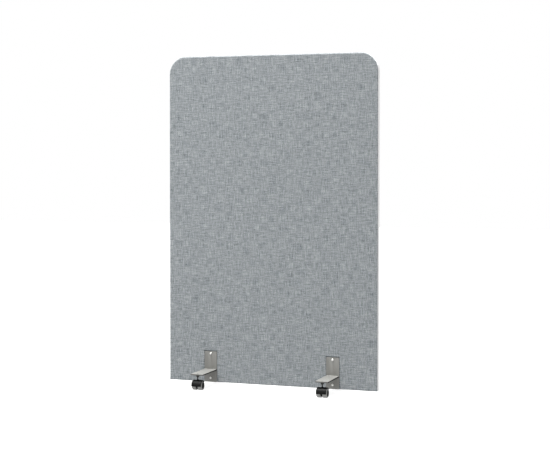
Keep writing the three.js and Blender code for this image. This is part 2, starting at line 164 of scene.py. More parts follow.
def lathe(profile, segments, closed=False, along_x=False):
    """Turned surface about Z, or X. profile is [(radius, height)]; a zero radius is a pole."""
    shape = bmesh.new()
    rings = []
    for radius, height in profile:
        if radius == 0:
            rings.append([shape.verts.new((0, 0, height * mm))])
        else:
            turns = [2 * math.pi * i / segments for i in range(segments)]
            rings.append([shape.verts.new((radius * mm * math.cos(turn),
                                           radius * mm * math.sin(turn), height * mm))
                          for turn in turns])
    for first, second in zip(rings, rings[1:]):
        bridge(shape, first, second)
    if closed:
        bridge(shape, rings[-1], rings[0])
    if along_x:
        bmesh.ops.rotate(shape, verts=shape.verts, matrix=Matrix.Rotation(math.pi / 2, 3, "Y"))
    return shape


def arc(cx, cy, radius, start, end, count):
    """Points on an arc in degrees, ends included."""
    return [(cx + radius * math.cos(math.radians(start + (end - start) * i / count)),
             cy + radius * math.sin(math.radians(start + (end - start) * i / count)))
            for i in range(count + 1)]


def circle(cx, cy, radius, count=40):
    return [(cx + radius * math.cos(2 * math.pi * i / count),
             cy + radius * math.sin(2 * math.pi * i / count)) for i in range(count)]


def hexagon(across_flats):
    radius = across_flats / math.sqrt(3)
    return [(radius * math.cos(math.radians(60 * i)), radius * math.sin(math.radians(60 * i)))
            for i in range(6)]


def rounded_rect(x0, x1, y0, y1, radii):
    """Counter-clockwise outline; corners and radii start at (x0, y0)."""
    points = []
    for (x, y, angle), r in zip(((x0, y0, 180), (x1, y0, 270), (x1, y1, 0), (x0, y1, 90)), radii):
        points += arc(x + r if x == x0 else x - r, y + r if y == y0 else y - r,
                      r, angle, angle + 90, 8)
    return points


def inside(point, polygon):
    x, y, hit = point[0], point[1], False
    for i in range(len(polygon)):
        x0, y0 = polygon[i]
        x1, y1 = polygon[i - 1]
        if (y0 > y) != (y1 > y) and x < (x1 - x0) * (y - y0) / (y1 - y0) + x0:
            hit = not hit
    return hit


def fill_round_holes(loops):
    """Triangles that fill the first loop and leave the other loops open."""
    points, edges, start = [], [], 0
    for loop in loops:
        points += [Vector(p) for p in loop]
        edges += [(start + i, start + (i + 1) % len(loop)) for i in range(len(loop))]
        start += len(loop)
    verts, _, faces, *_ = geometry.delaunay_2d_cdt(points, edges, [], 0, 1e-7)
    kept = []
    for face in faces:
        centre = sum((verts[i] for i in face), Vector((0, 0))) / len(face)
        if inside(centre, loops[0]) and not any(inside(centre, hole) for hole in loops[1:]):
            kept.append(face)
    return verts, kept


def prism(outline, z0, z1, bevel=0.0, holes=()):
    """Closed prism of an outline along Z, with optional softened rims and holes."""
    loops = [outline, *holes]
    points, faces = fill_round_holes(loops) if holes else (outline, [range(len(outline))])
    shape = bmesh.new()
    low = add_points(shape, [(x, y, z0) for x, y in points])
    high = add_points(shape, [(x, y, z1) for x, y in points])
    for face in faces:
        shape.faces.new([low[i] for i in reversed(face)])
        shape.faces.new([high[i] for i in face])
    start = 0
    for loop in loops:
        end = start + len(loop)
        bridge(shape, low[start:end], high[start:end])
        start = end
    if bevel:
        bmesh.ops.recalc_face_normals(shape, faces=shape.faces)
        rim = [e for e in shape.edges
               if len(e.link_faces) == 2 and abs(e.verts[0].co.z - e.verts[1].co.z) < 1e-9
               and e.calc_face_angle(0) > 0.8]
        bmesh.ops.bevel(shape, geom=rim, offset=bevel * mm, segments=3, profile=0.5,
                        affect="EDGES", clamp_overlap=True)
    return shape


def transform(shape, matrix):
    bmesh.ops.transform(shape, matrix=matrix, verts=shape.verts)
    return shape


def shift(shape, y, z=0.0):
    return transform(shape, Matrix.Translation((0, y * mm, z * mm)))


def temporary_object(shape, name="tmp"):
    obj = bpy.data.objects.new(name, plain_mesh(name, shape))
    bpy.context.scene.collection.objects.link(obj)
    return obj


def modified_mesh(obj):
    """A new mesh with the object's modifiers applied."""
    bpy.context.view_layer.update()
    depsgraph = bpy.context.evaluated_depsgraph_get()
    return bpy.data.meshes.new_from_object(obj.evaluated_get(depsgraph),
                                           preserve_all_data_layers=False, depsgraph=depsgraph)


def discard(obj):
    mesh = obj.data
    bpy.data.objects.remove(obj)
    bpy.data.meshes.remove(mesh)


def boolean(shape, tools, operation="DIFFERENCE"):
    """shape with each tool subtracted, joined or intersected."""
    base = temporary_object(shape)
    for tool_shape in tools:
        tool = temporary_object(tool_shape, "tool")
        modifier = base.modifiers.new("b", "BOOLEAN")
        modifier.operation, modifier.solver, modifier.object = operation, "EXACT", tool
        mesh = modified_mesh(base)
        base.modifiers.clear()
        old, base.data = base.data, mesh
        bpy.data.meshes.remove(old)
        discard(tool)
    result = bmesh.new()
    result.from_mesh(base.data)
    discard(base)
    return result


def moulded_skin(shape, voxel, iterations, factor):
    """One skin over joined solids, with softened edges."""
    obj = temporary_object(shape)
    remesh = obj.modifiers.new("r", "REMESH")
    remesh.mode, remesh.voxel_size, remesh.adaptivity = "VOXEL", voxel * mm, 0.0
    relax = obj.modifiers.new("s", "SMOOTH")
    relax.factor, relax.iterations = factor, iterations
    mesh = modified_mesh(obj)
    discard(obj)
    shade(mesh, None)
    return mesh


# =====================================================================
# shader node helpers
# =====================================================================
class Nodes:
    def __init__(self, tree):
        self.tree = tree
        tree.nodes.clear()

    def feed(self, socket, value):
        if isinstance(value, bpy.types.NodeSocket):
            self.tree.links.new(value, socket)
        else:
            socket.default_value = value

    def node(self, kind, inputs=None, **settings):
        node = self.tree.nodes.new(kind)
        for name, value in settings.items():
            setattr(node, name, value)
        for key, value in (inputs or {}).items():
            self.feed(node.inputs[key], value)
        return node

    def remap(self, value, span, to=(0.0, 1.0), **settings):
        """value over span, brought onto the range to."""
        return self.node("ShaderNodeMapRange", {
            "From Min": span[0], "From Max": span[1], "To Min": to[0], "To Max": to[1],
            "Value": value}, **settings).outputs["Result"]


class Material(Nodes):
    """A principled material in object coordinates. Noise scales are cycles per metre."""

    def __init__(self, name):
        self.material = bpy.data.materials.new(name)
        self.material.use_nodes = True
        super().__init__(self.material.node_tree)
        output = self.node("ShaderNodeOutputMaterial")
        self.bsdf = self.node("ShaderNodeBsdfPrincipled")
        self.feed(output.inputs[0], self.bsdf.outputs[0])
        self.coords = self.node("ShaderNodeTexCoord")

    def set(self, **inputs):
        for name, value in inputs.items():
            self.feed(self.bsdf.inputs[name.replace("_", " ")], value)

    def math(self, operation, a, b=0.0):
        return self.node("ShaderNodeMath", {0: a, 1: b, 2: 0.0}, operation=operation).outputs[0]

    def add(self, a, b):
        return self.math("ADD", a, b)

    def multiply(self, a, b):
        return self.math("MULTIPLY", a, b)

    def centred(self, value):
        return self.math("SUBTRACT", value, 0.5)

    def scaled(self, scale, offset=(0, 0, 0)):
        """Object coordinates, scaled evenly or by an (x, y, z) scale."""
        if not isinstance(scale, tuple):
            scale = (scale,) * 3
        return self.node("ShaderNodeMapping", {
            "Scale": scale, "Location": offset,
            "Vector": self.coords.outputs["Object"]}).outputs[0]

    def noise_at(self, vector, detail=2.0, roughness=0.5):
        return self.node("ShaderNodeTexNoise", {
            "Scale": 1.0, "Detail": detail, "Roughness": roughness,
            "Vector": vector}).outputs["Fac"]

    def noise(self, scale, detail=2.0, roughness=0.5, offset=(0, 0, 0)):
        return self.noise_at(self.scaled(scale, offset), detail, roughness)

    def mix(self, amount, start, end):
        """Colour between start and end."""
        start, end = (c if isinstance(c, bpy.types.NodeSocket) else (*c, 1.0)
                      for c in (start, end))
        return self.node("ShaderNodeMix", {0: amount, 6: start, 7: end},
                         data_type="RGBA").outputs[2]

    def scale_color(self, color, factor):
        return self.node("ShaderNodeVectorMath", {0: color, "Scale": factor},
                         operation="SCALE").outputs[0]

    def bump(self, height, strength, distance, normal=None):
        inputs = {"Strength": strength, "Distance": distance, "Height": height}
        if normal is not None:
            inputs["Normal"] = normal
        return self.node("ShaderNodeBump", inputs).outputs["Normal"]

    def edges(self, span):
        """Rises over convex edges."""
        geometry_node = self.node("ShaderNodeNewGeometry")
        return self.remap(geometry_node.outputs["Pointiness"], span=span)


# =====================================================================
# materials
# =====================================================================
FABRIC_BASE = (0.279, 0.299, 0.310)
YARN_PITCH = 1.7         # mm between yarns
YARN_WANDER = 0.9        # mm the yarns waver
YARN_WEIGHT = 0.5        # weight of the single yarns
SLUB_WEIGHT = 1.12       # weight of the slubs against the single yarns
YARN_TONE = 2.12         # tone contrast of the yarns
FIBRE_TONE = 0.5         # contrast of the two fibre shades
FLECK_TONE = 0.80        # contrast of the flecks
CLOUD_TONE = 0.14        # contrast of the cloudiness
TONE_MIN, TONE_MAX = -0.78, 0.92
DIVE = 0.35              # height a yarn keeps where it dives under its neighbour


def make_fabric():
    """Plain weave of slubby two-shade yarns."""
    mat = Material("melange_weave")
    place = mat.node("ShaderNodeSeparateXYZ", {"Vector": mat.coords.outputs["Object"]})
    # the yarns waver a little, as in a slubby linen look
    wander = mat.noise(scale=34, offset=(2, 8, 5))
    x = mat.add(place.outputs["X"], mat.multiply(mat.centred(wander), YARN_WANDER * mm))
    z = mat.add(place.outputs["Z"], mat.multiply(mat.centred(wander), -YARN_WANDER * mm))
    across = mat.math("DIVIDE", x, YARN_PITCH * mm)
    upward = mat.math("DIVIDE", z, YARN_PITCH * mm)
    # which yarn lies on top at this crossing
    crossing = mat.add(mat.math("FLOOR", across), mat.math("FLOOR", upward))
    parity = mat.math("MODULO", mat.math("ABSOLUTE", crossing), 2.0)

    # each yarn is a round ridge that dives under its neighbour
    def ridge(position):
        return mat.math("ABSOLUTE", mat.math("SINE", mat.multiply(position, math.pi)))

    def woven(own, other):
        return mat.multiply(own, mat.add(DIVE, mat.multiply(other, 1 - DIVE)))
    warp_ridge, weft_ridge = ridge(across), ridge(upward)
    warp_height = woven(warp_ridge, weft_ridge)
    weft_height = woven(weft_ridge, warp_ridge)

    # tone along each yarn, and broader slubs that run with the warp and with the weft
    def streak(width, length, vertical, offset):
        wide, long = 1000 / width, 1000 / length
        scale = (wide, 1.0, long) if vertical else (long, 1.0, wide)
        return mat.noise(scale=scale, detail=1.0, offset=offset)

    def yarn_tone(vertical, yarn_offset, slub_offset):
        single = streak(width=1.9, length=16, vertical=vertical, offset=yarn_offset)
        single = mat.multiply(single, YARN_WEIGHT)
        slub = streak(width=3.9, length=42, vertical=vertical, offset=slub_offset)
        return mat.add(single, mat.multiply(slub, SLUB_WEIGHT))
    warp_tone = yarn_tone(True, yarn_offset=(0, 0, 0), slub_offset=(7.7, 0, 3.1))
    weft_tone = yarn_tone(False, yarn_offset=(37.3, 11.0, 5.1), slub_offset=(17.3, 1.0, 25.1))
    top_tone = mat.node("ShaderNodeMix", {0: parity, 2: warp_tone, 3: weft_tone},
                        data_type="FLOAT").outputs[0]
    yarn = mat.math("SUBTRACT", top_tone, YARN_WEIGHT / 2 + SLUB_WEIGHT / 2)

    # fibres of two shades spun together, flecks, and a faint cloudiness of the whole cloth
    fibre = mat.noise(scale=620, detail=1.0)
    fleck = mat.noise(scale=230, detail=1.0, offset=(3, 7, 1))
    cloud = mat.noise(scale=14)
    hue = mat.noise(scale=85, offset=(9, 2, 4))
    tone = mat.add(
        mat.multiply(yarn, YARN_TONE),
        mat.add(mat.multiply(mat.centred(fibre), FIBRE_TONE),
                mat.add(mat.multiply(mat.centred(fleck), FLECK_TONE),
                        mat.multiply(mat.centred(cloud), CLOUD_TONE))))
    tone = mat.math("MAXIMUM", mat.math("MINIMUM", tone, TONE_MAX), TONE_MIN)
    # darker in the gaps between yarns
    gap_level, ridge_gain = 0.84, 0.2
    gap_shade = mat.add(gap_level, mat.multiply(
        mat.math("MAXIMUM", warp_height, weft_height), ridge_gain))
    level = mat.multiply(mat.add(1.0, tone), gap_shade)

    # the grey part of the base colour carries the tone; the remainder is a steady tint
    grey = min(FABRIC_BASE) - 0.004
    hue_shift = 0.001
    red, green, blue = [c - grey for c in FABRIC_BASE]
    tint = mat.mix(mat.remap(hue, span=(0.35, 0.65)),
                   start=(red - hue_shift, green, blue + hue_shift),
                   end=(red + hue_shift, green, blue - hue_shift))
    # painted shade: the cloth is darkened in the crease round each back plate, darkest just above
    # its top
    painted_crease_node = mat.node("ShaderNodeAttribute", attribute_name="painted_crease_shade")
    level = mat.multiply(level, mat.math("SUBTRACT", 1.0, painted_crease_node.outputs["Fac"]))
    color = mat.node("ShaderNodeVectorMath",
                     {0: mat.scale_color((grey, grey, grey), level), 1: tint}, operation="ADD")
    mat.set(Base_Color=color.outputs[0],
            Roughness=mat.remap(fibre, span=(0.3, 0.7), to=(0.82, 0.97)),
            Specular_IOR_Level=0.15, Sheen_Weight=0.06, Sheen_Roughness=0.5)

    fuzz_height, yarn_lump = 0.35, 0.8
    fuzz = mat.noise(scale=2600, roughness=0.6)
    height = mat.add(mat.math("MAXIMUM", warp_height, weft_height),
                     mat.multiply(fuzz, fuzz_height))
    weave = mat.bump(height, strength=0.6, distance=0.22 * mm)
    lumps = mat.add(mat.noise(scale=60, offset=(1, 5, 2)), mat.multiply(yarn, yarn_lump))
    mat.set(Normal=mat.bump(lumps, strength=0.5, distance=0.7 * mm, normal=weave))
    return mat.material


def make_felt(name, color, scale, contrast):
    mat = Material(name)
    fibre = mat.noise(scale=scale, detail=5.0, roughness=0.7)
    layers = mat.noise(scale=(scale * 0.25, scale * 0.25, scale * 1.6), detail=3.0, roughness=0.6)
    level = mat.add(1 - contrast, mat.multiply(mat.add(fibre, layers), contrast))
    mat.set(Base_Color=mat.scale_color(color, level),
            Roughness=mat.remap(fibre, span=(0.3, 0.7), to=(0.88, 1.0)),
            Sheen_Weight=0.2,
            Normal=mat.bump(mat.add(fibre, layers), strength=0.5, distance=0.4 * mm))
    return mat.material


def make_wood():
    """Softwood with its grain along X."""
    mat = Material("planed_softwood")
    ring_weight, fibre_weight, ripple_weight = 0.6, 0.4, 0.4
    stretched = mat.scaled((9, 60, 60))
    ripple = mat.noise_at(stretched)
    rings = mat.node("ShaderNodeTexWave", {
        "Scale": 1.1, "Distortion": 7.0, "Detail": 3.0, "Vector": stretched},
        wave_type="BANDS", bands_direction="DIAGONAL")
    fibre = mat.noise(scale=(30, 900, 900), detail=3.0, roughness=0.6)
    grain = mat.add(mat.multiply(rings.outputs["Fac"], ring_weight),
                    mat.multiply(fibre, fibre_weight))
    mat.set(Base_Color=mat.mix(grain, start=(0.62, 0.43, 0.24), end=(0.42, 0.26, 0.13)),
            Roughness=mat.remap(fibre, span=(0.3, 0.7), to=(0.55, 0.75)),
            Normal=mat.bump(mat.add(fibre, mat.multiply(ripple, ripple_weight)),
                            strength=0.3, distance=0.15 * mm))
    return mat.material


def make_edging():
    mat = Material("edging_off_white")
    grain = mat.noise(scale=1500, detail=3.0, roughness=0.6)
    cloud = mat.noise(scale=14)
    wear = mat.edges(span=(0.505, 0.56))
    base = mat.mix(mat.remap(cloud, span=(0.35, 0.65)),
                   start=(0.768, 0.773, 0.775), end=(0.808, 0.808, 0.805))
    worn = mat.multiply(wear, mat.remap(grain, span=(0.4, 0.6), to=(0.1, 0.5)))
    mat.set(Base_Color=mat.mix(worn, start=base, end=(0.87, 0.87, 0.86)),
            Roughness=mat.remap(grain, span=(0.3, 0.7), to=(0.38, 0.52)),
            Specular_IOR_Level=0.5,
            Normal=mat.bump(grain, strength=0.22, distance=0.05 * mm))
    return mat.material


def make_powder_coat(name, painted_side_shade, painted_end_shade):
    """Satin coat on steel plate, with painted shade on the faces toward X and toward -Y."""
    mat = Material(name)
    speck = mat.noise(scale=2400, roughness=0.6)
    peel = mat.noise(scale=620, detail=3.0)
    cloud = mat.noise(scale=22, detail=3.0, roughness=0.55)
    brushed = mat.noise(scale=(45, 45, 1400))
    base = mat.mix(mat.remap(speck, span=(0.4, 0.62)),
                   start=(0.204, 0.203, 0.191), end=(0.250, 0.249, 0.234))
    base = mat.mix(mat.remap(cloud, span=(0.3, 0.7), to=(0.0, 0.35)),
                   start=base, end=(0.214, 0.212, 0.199))
    # painted shade: the faces toward X, and toward -Y, are darkened nearly to black and lose some
    # gloss
    facing = mat.node("ShaderNodeSeparateXYZ", {"Vector": mat.coords.outputs["Normal"]})
    painted_face_shade = mat.remap(mat.math("ABSOLUTE", facing.outputs["X"]), span=(0.55, 0.9),
                    to=(0.0, painted_side_shade))
    if painted_end_shade:
        painted_face_shade = mat.math("MAXIMUM", painted_face_shade, mat.remap(facing.outputs["Y"], span=(-0.55, -0.9),
                                                 to=(0.0, painted_end_shade)))
    specular, specular_loss, brushed_roughness = 0.5, 0.45, 0.05
    mat.set(Base_Color=mat.mix(painted_face_shade, start=base, end=(0.022, 0.022, 0.021)),
            Metallic=mat.remap(speck, span=(0.35, 0.65), to=(0.18, 0.42)),
            Roughness=mat.add(mat.remap(peel, span=(0.3, 0.7), to=(0.36, 0.46)),
                              mat.multiply(brushed, brushed_roughness)),
            Specular_IOR_Level=mat.math("SUBTRACT", specular, mat.multiply(painted_face_shade, specular_loss)))
    orange_peel = mat.bump(peel, strength=0.16, distance=0.08 * mm)
    mat.set(Normal=mat.bump(speck, strength=0.10, distance=0.03 * mm, normal=orange_peel))
    return mat.material


def make_zinc():
    mat = Material("bright_zinc")
    fine = mat.noise(scale=900, detail=4.0, roughness=0.6)
    spangle = mat.node("ShaderNodeTexVoronoi",
                       {"Scale": 700, "Vector": mat.coords.outputs["Object"]})
    color = mat.mix(mat.remap(fine, span=(0.3, 0.7)),
                    start=(0.83, 0.825, 0.79), end=(0.91, 0.905, 0.88))
    level = mat.remap(spangle.outputs["Distance"], span=(0, 1), to=(1.02, 0.94))
    mat.set(Base_Color=mat.scale_color(color, level),
            Metallic=0.8,
            Roughness=mat.remap(fine, span=(0.3, 0.7), to=(0.26, 0.38)),
            Normal=mat.bump(fine, strength=0.12, distance=0.04 * mm))
    return mat.material


def make_stem_steel():
    mat = Material("stem_steel_painted_shade")
    fine = mat.noise(scale=1100, detail=4.0, roughness=0.6)
    turned = mat.noise(scale=(120, 120, 2600))
    edge = mat.edges(span=(0.53, 0.62))
    # painted shade: the near-black base stands in for the shadow the foot plate throws on the
    # zinc-plated stem and nut
    base = mat.mix(mat.remap(fine, span=(0.3, 0.7)),
                   start=(0.030, 0.030, 0.029), end=(0.052, 0.052, 0.050))
    worn = mat.multiply(edge, mat.remap(fine, span=(0.4, 0.6), to=(0.1, 0.6)))
    mat.set(Base_Color=mat.mix(worn, start=base, end=(0.15, 0.15, 0.145)),
            Metallic=0.7, Specular_IOR_Level=0.25,
            Roughness=mat.remap(mat.add(fine, turned), span=(0.7, 1.3), to=(0.3, 0.48)),
            Normal=mat.bump(mat.add(fine, turned), strength=0.15, distance=0.04 * mm))
    return mat.material


def make_black_plastic():
    mat = Material("black_moulded_nylon")
    edge_wear, spark_roughness = 0.25, 0.08
    spark = mat.noise(scale=1800, detail=3.0, roughness=0.6)
    cloud = mat.noise(scale=60, detail=3.0)
    edge = mat.edges(span=(0.53, 0.62))
    base = mat.mix(mat.remap(cloud, span=(0.35, 0.65)),
                   start=(0.0026, 0.0027, 0.0026), end=(0.0048, 0.0049, 0.0046))
    mat.set(Base_Color=mat.mix(mat.multiply(edge, edge_wear),
                               start=base, end=(0.018, 0.018, 0.0175)),
            Roughness=mat.add(mat.remap(cloud, span=(0.3, 0.7), to=(0.36, 0.46)),
                              mat.multiply(spark, spark_roughness)),
            Specular_IOR_Level=0.10,
            Normal=mat.bump(spark, strength=0.14, distance=0.05 * mm))
    return mat.material


def make_tread():
    mat = Material("soft_grey_tread")
    scuff_depth = 0.5
    fine = mat.noise(scale=1300, detail=3.0, roughness=0.6)
    scuff = mat.noise(scale=140, detail=4.0, roughness=0.65)
    color = mat.mix(mat.remap(scuff, span=(0.35, 0.7)),
                    start=(0.322, 0.322, 0.313), end=(0.262, 0.262, 0.253))
    level = mat.remap(fine, span=(0.3, 0.7), to=(0.93, 1.07))
    mat.set(Base_Color=mat.scale_color(color, level),
            Roughness=mat.remap(scuff, span=(0.3, 0.7), to=(0.55, 0.8)),
            Specular_IOR_Level=0.4,
            Normal=mat.bump(mat.add(fine, mat.multiply(scuff, scuff_depth)),
                            strength=0.25, distance=0.06 * mm))
    return mat.material


MATERIALS = {
    "fabric": make_fabric(),
    "felt": make_felt("needled_felt", color=(0.48, 0.49, 0.48), scale=900, contrast=0.35),
    "infill": make_felt("fibre_board", color=(0.66, 0.64, 0.58), scale=500, contrast=0.3),
    "frame_wood": make_wood(),
    "edge_band": make_edging(),
    # both coats carry painted shade on their side faces; the foot's copy carries it fully, and on
    # its front end too
    "bracket_steel": make_powder_coat("silver_grey_powder_coat", painted_side_shade=0.25, painted_end_shade=0.0),
    "bracket_foot": make_powder_coat("powder_coat_foot_painted_shade",
                                     painted_side_shade=1.0, painted_end_shade=0.5),
    "zinc": make_zinc(),
    "stem_steel": make_stem_steel(),
    "caster_plastic": make_black_plastic(),
    "tread": make_tread(),
}


def place(name, mesh, slot, node, body=ROOT, matrix=Matrix.Identity(4), finish=None):
    """A finished piece: it rides on a body, fills a slot and stands for a CAD node."""
    if not mesh.materials:
        mesh.materials.append(MATERIALS[finish or slot])
    obj = bpy.data.objects.new(name, mesh)
    bpy.context.scene.collection.objects.link(obj)
    obj.matrix_world = matrix
    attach(obj, body)
    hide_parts(node)


# =====================================================================
# panel
# =====================================================================
def panel_outline(inset, step):
    """The edge band's outer outline moved inward, as evenly spaced (x, z) points."""
    x0, x1 = band_lo[0] + inset, band_hi[0] - inset
    z0, z1 = band_lo[2] + inset, band_hi[2] - inset
    r = CORNER_R - inset

    def line(start, end):
        count = max(int(round(math.dist(start, end) / step)), 1)
        return [(start[0] + (end[0] - start[0]) * i / count,
                 start[1] + (end[1] - start[1]) * i / count) for i in range(count)]
    points = line((x0, z0), (x1, z0)) + line((x1, z0), (x1, z1 - r))
    points += arc(x1 - r, z1 - r, r, 0, 90, 30)[:-1]
    points += line((x1 - r, z1), (x0 + r, z1))
    points += arc(x0 + r, z1 - r, r, 90, 180, 30)[:-1]
    points += line((x0, z1 - r), (x0, z0))
    return points


def rim_distance(x, z):
    """Distance inward from the cover's outline."""
    x1, z0, z1 = cover_hi[0], cover_lo[2], cover_hi[2]
    r = CORNER_R - (band_hi[0] - cover_hi[0])
    side = np.abs(x)
    straight = np.minimum(np.minimum(x1 - side, z - z0), z1 - z)
    cx, cz = x1 - r, z1 - r
    corner = (side > cx) & (z > cz)
    return np.where(corner, r - np.hypot(side - cx, z - cz), straight)


def plate_distance(x, z):
    """Distance outward from the nearest back plate; negative under it."""
    below = 50       # the plates are taken to run on below their lower ends
    nearest = np.full(np.shape(x), 1e9)
    for cx in (FOOT_X, -FOOT_X):
        dx = np.abs(x - cx) - PLATE_HALF
        dz = np.maximum(plate_lo[2] - below - z, z - plate_hi[2])
        outside = np.hypot(np.maximum(dx, 0), np.maximum(dz, 0))
        distance = np.where((dx < 0) & (dz < 0), np.maximum(dx, dz), outside)
        nearest = np.minimum(nearest, distance)
    return nearest


def ease(t):
    t = np.clip(t, 0, 1)
    return t * t * (3 - 2 * t)


def settled_pad(x, z):
    """Cloth simulation of the pad: held at its rim, under the plates and at its back, and
    pushed out by its wadding. Gives the rise of each point of the grid."""
    rows, columns = x.shape
    rim_y, face_y, back_y = 2.0, 6.0, 6.0
    front = np.stack([x.ravel(), np.zeros(x.size), z.ravel()], 1) * mm
    back = front.copy()
    back[:, 1] = back_y * mm
    rim_pull = ease(rim_distance(x, z).ravel() / 14.0)
    front[:, 1] = -(rim_y + (face_y - rim_y) * rim_pull) * mm
    count = front.shape[0]

    faces = []
    for j in range(rows - 1):
        for i in range(columns - 1):
            corner = j * columns + i
            quad = (corner, corner + 1, corner + columns + 1, corner + columns)
            faces.append(quad)
            faces.append(tuple(k + count for k in reversed(quad)))
    last_x, last_z = columns - 1, rows - 1
    border = list(range(columns))
    border += [j * columns + last_x for j in range(1, rows)]
    border += [last_z * columns + i for i in range(last_x - 1, -1, -1)]
    border += [j * columns for j in range(last_z - 1, 0, -1)]
    for start, end in zip(border, border[1:] + border[:1]):
        faces.append((end, start, start + count, end + count))
    mesh = bpy.data.meshes.new("pad_sim")
    mesh.from_pydata([tuple(c) for c in np.vstack([front, back])], [], faces)
    mesh.update()
    pad = bpy.data.objects.new("pad_sim", mesh)
    bpy.context.scene.collection.objects.link(pad)

    held = (rim_distance(x, z).ravel() < 5.0) | (plate_distance(x, z).ravel() < -1.0)
    pin = pad.vertex_groups.new(name="pin")
    pin.add([int(i) for i in np.nonzero(held)[0]], 1.0, "REPLACE")
    pin.add(list(range(count, 2 * count)), 1.0, "REPLACE")
    cloth = pad.modifiers.new("c", "CLOTH")
    settings = cloth.settings
    settings.quality = 6
    settings.mass = 0.25
    settings.tension_stiffness = settings.compression_stiffness = 25
    settings.shear_stiffness = 12
    settings.bending_stiffness = 4
    settings.tension_damping = settings.compression_damping = settings.shear_damping = 15
    settings.use_pressure = True
    settings.uniform_pressure_force = 4.0
    settings.vertex_group_mass = "pin"
    settings.effector_weights.gravity = 0.0
    cloth.collision_settings.use_collision = False
    scene = bpy.context.scene
    for f in range(1, 21):
        scene.frame_set(f)
    settled = pad.evaluated_get(bpy.context.evaluated_depsgraph_get())
    places = np.empty(len(settled.data.vertices) * 3)
    settled.data.vertices.foreach_get("co", places)
    places = places.reshape(-1, 3)[:count]
    scene.frame_set(1)
    discard(pad)
    return np.maximum(-(places[:, 1] - front[:, 1]) * 1000, 0).reshape(x.shape)


def padding_swell():
    """A function of x and z that gives how far the padding swells."""
    columns, rows = 84, 125
    xs = np.linspace(cover_lo[0], cover_hi[0], columns + 1)
    zs = np.linspace(cover_lo[2], cover_hi[2], rows + 1)
    x_grid, z_grid = np.meshgrid(xs, zs)
    rise = settled_pad(x_grid, z_grid)
    # levelled to a fixed height, then flattened toward PAD_SWELL
    rise = rise / max(float(np.percentile(rise, 90)), 1e-6) * PAD_SWELL * 1.6
    swell = PAD_SWELL * np.tanh(rise / PAD_SWELL)

    def sample(x, z):
        i = np.clip((x - xs[0]) / (xs[1] - xs[0]), 0, columns - 1e-6)
        j = np.clip((z - zs[0]) / (zs[1] - zs[0]), 0, rows - 1e-6)
        i0, j0 = i.astype(int), j.astype(int)
        fi, fj = i - i0, j - j0
        return ((swell[j0, i0] * (1 - fi) + swell[j0, i0 + 1] * fi) * (1 - fj)
                + (swell[j0 + 1, i0] * (1 - fi) + swell[j0 + 1, i0 + 1] * fi) * fj)
    return sample


RIM_INSETS = (0.0, 0.3, 0.7, 1.2, 1.8, 2.5, 3.3, 4.2, 5.2, 6.6, 9.0, 14.0)
TUCK_OFFSETS = (-1.2, -0.2, 0.4, 0.9, 1.5, 2.2, 3.0, 4.0, 5.5, 8.0)   # outward from a plate
ROLL_WIDTH = 5.6         # width of the rolled rim
TUCK_START, TUCK_WIDTH, TUCK_POWER = 0.15, 5.6, 2.6   # the rise of the padding beside a plate
HOLE_CLEAR = 4.93        # triangles centred nearer a screw than this are left out


def clear_of_screws(x, z, distance):
    return all(math.hypot(x - hx, z - hz) > distance for hx, hz in SCREWS)


def cover_points():
    """Points of the cover's face, the edges it must keep, and its (start, count) loops:
    the rim first, then the screw holes."""
    points, edges, loops = [], [], []

    def add_loop(loop):
        start = len(points)
        points.extend(loop)
        edges.extend((start + i, start + (i + 1) % len(loop)) for i in range(len(loop)))
        return start, len(loop)
    rims = [add_loop(panel_outline(0.1 + inset, 7.0)) for inset in RIM_INSETS]
    loops.append(rims[0])
    for hx, hz in SCREWS:
        loops.append(add_loop([(hx + SCREW_HOLE_R * math.cos(t), hz + SCREW_HOLE_R * math.sin(t))
                               for t in np.linspace(0, 2 * math.pi, 25)[:-1]]))

    # rows of points that follow each plate's outline, so the tuck beside it is smooth
    z0, z1, corner = plate_lo[2], plate_hi[2], PLATE_CORNER_R
    for cx in (FOOT_X, -FOOT_X):
        for offset in TUCK_OFFSETS:
            r = max(offset + corner, 0.5)
            for side in (-1, 1):
                points.extend((cx + side * (PLATE_HALF + offset), float(z))
                              for z in np.arange(z0 + 15.5, z1 - 1.0, 5.0))
            for angle in np.linspace(0, 90, 5 + int(max(offset, 0) / 2)):
                for side in (-1, 1):
                    points.append(
                        (cx + side * (PLATE_HALF - corner + r * math.cos(math.radians(angle))),
                         z1 - corner + r * math.sin(math.radians(angle))))
            points.extend((float(x), z1 + offset)
                          for x in np.arange(cx - PLATE_HALF + 6, cx + PLATE_HALF - 5, 5.0))

    # the field between, in staggered rows
    step = 10.0
    for z in np.arange(cover_lo[2] + 20, cover_hi[2] - 14, step):
        stagger = 5 if int(round((z - cover_lo[2]) / step)) % 2 else 0
        for x in np.arange(-480 + stagger, 481, step):
            if rim_distance(np.array(x), np.array(z)) > 18:
                distance = float(plate_distance(np.array(x), np.array(z)))
                if (distance > 11 or distance < -5) and clear_of_screws(x, z, 8):
                    points.append((float(x), float(z)))
    return points, edges, loops


def cover_faces(places, faces):
    """The triangles within the outline, without slivers and screw holes."""
    faces = np.array([face for face in faces if len(face) == 3])
    centres = places[faces].mean(1)
    kept = rim_distance(centres[:, 0], centres[:, 1]) + CLOTH_GROW > 1e-4
    for hx, hz in SCREWS:
        kept &= np.hypot(centres[:, 0] - hx, centres[:, 1] - hz) > HOLE_CLEAR
    a, b, c = (places[faces[:, i]] for i in range(3))
    area = np.abs((b[:, 0] - a[:, 0]) * (c[:, 1] - a[:, 1])
                  - (b[:, 1] - a[:, 1]) * (c[:, 0] - a[:, 0])) / 2
    return faces[kept & (area > 1e-7)]


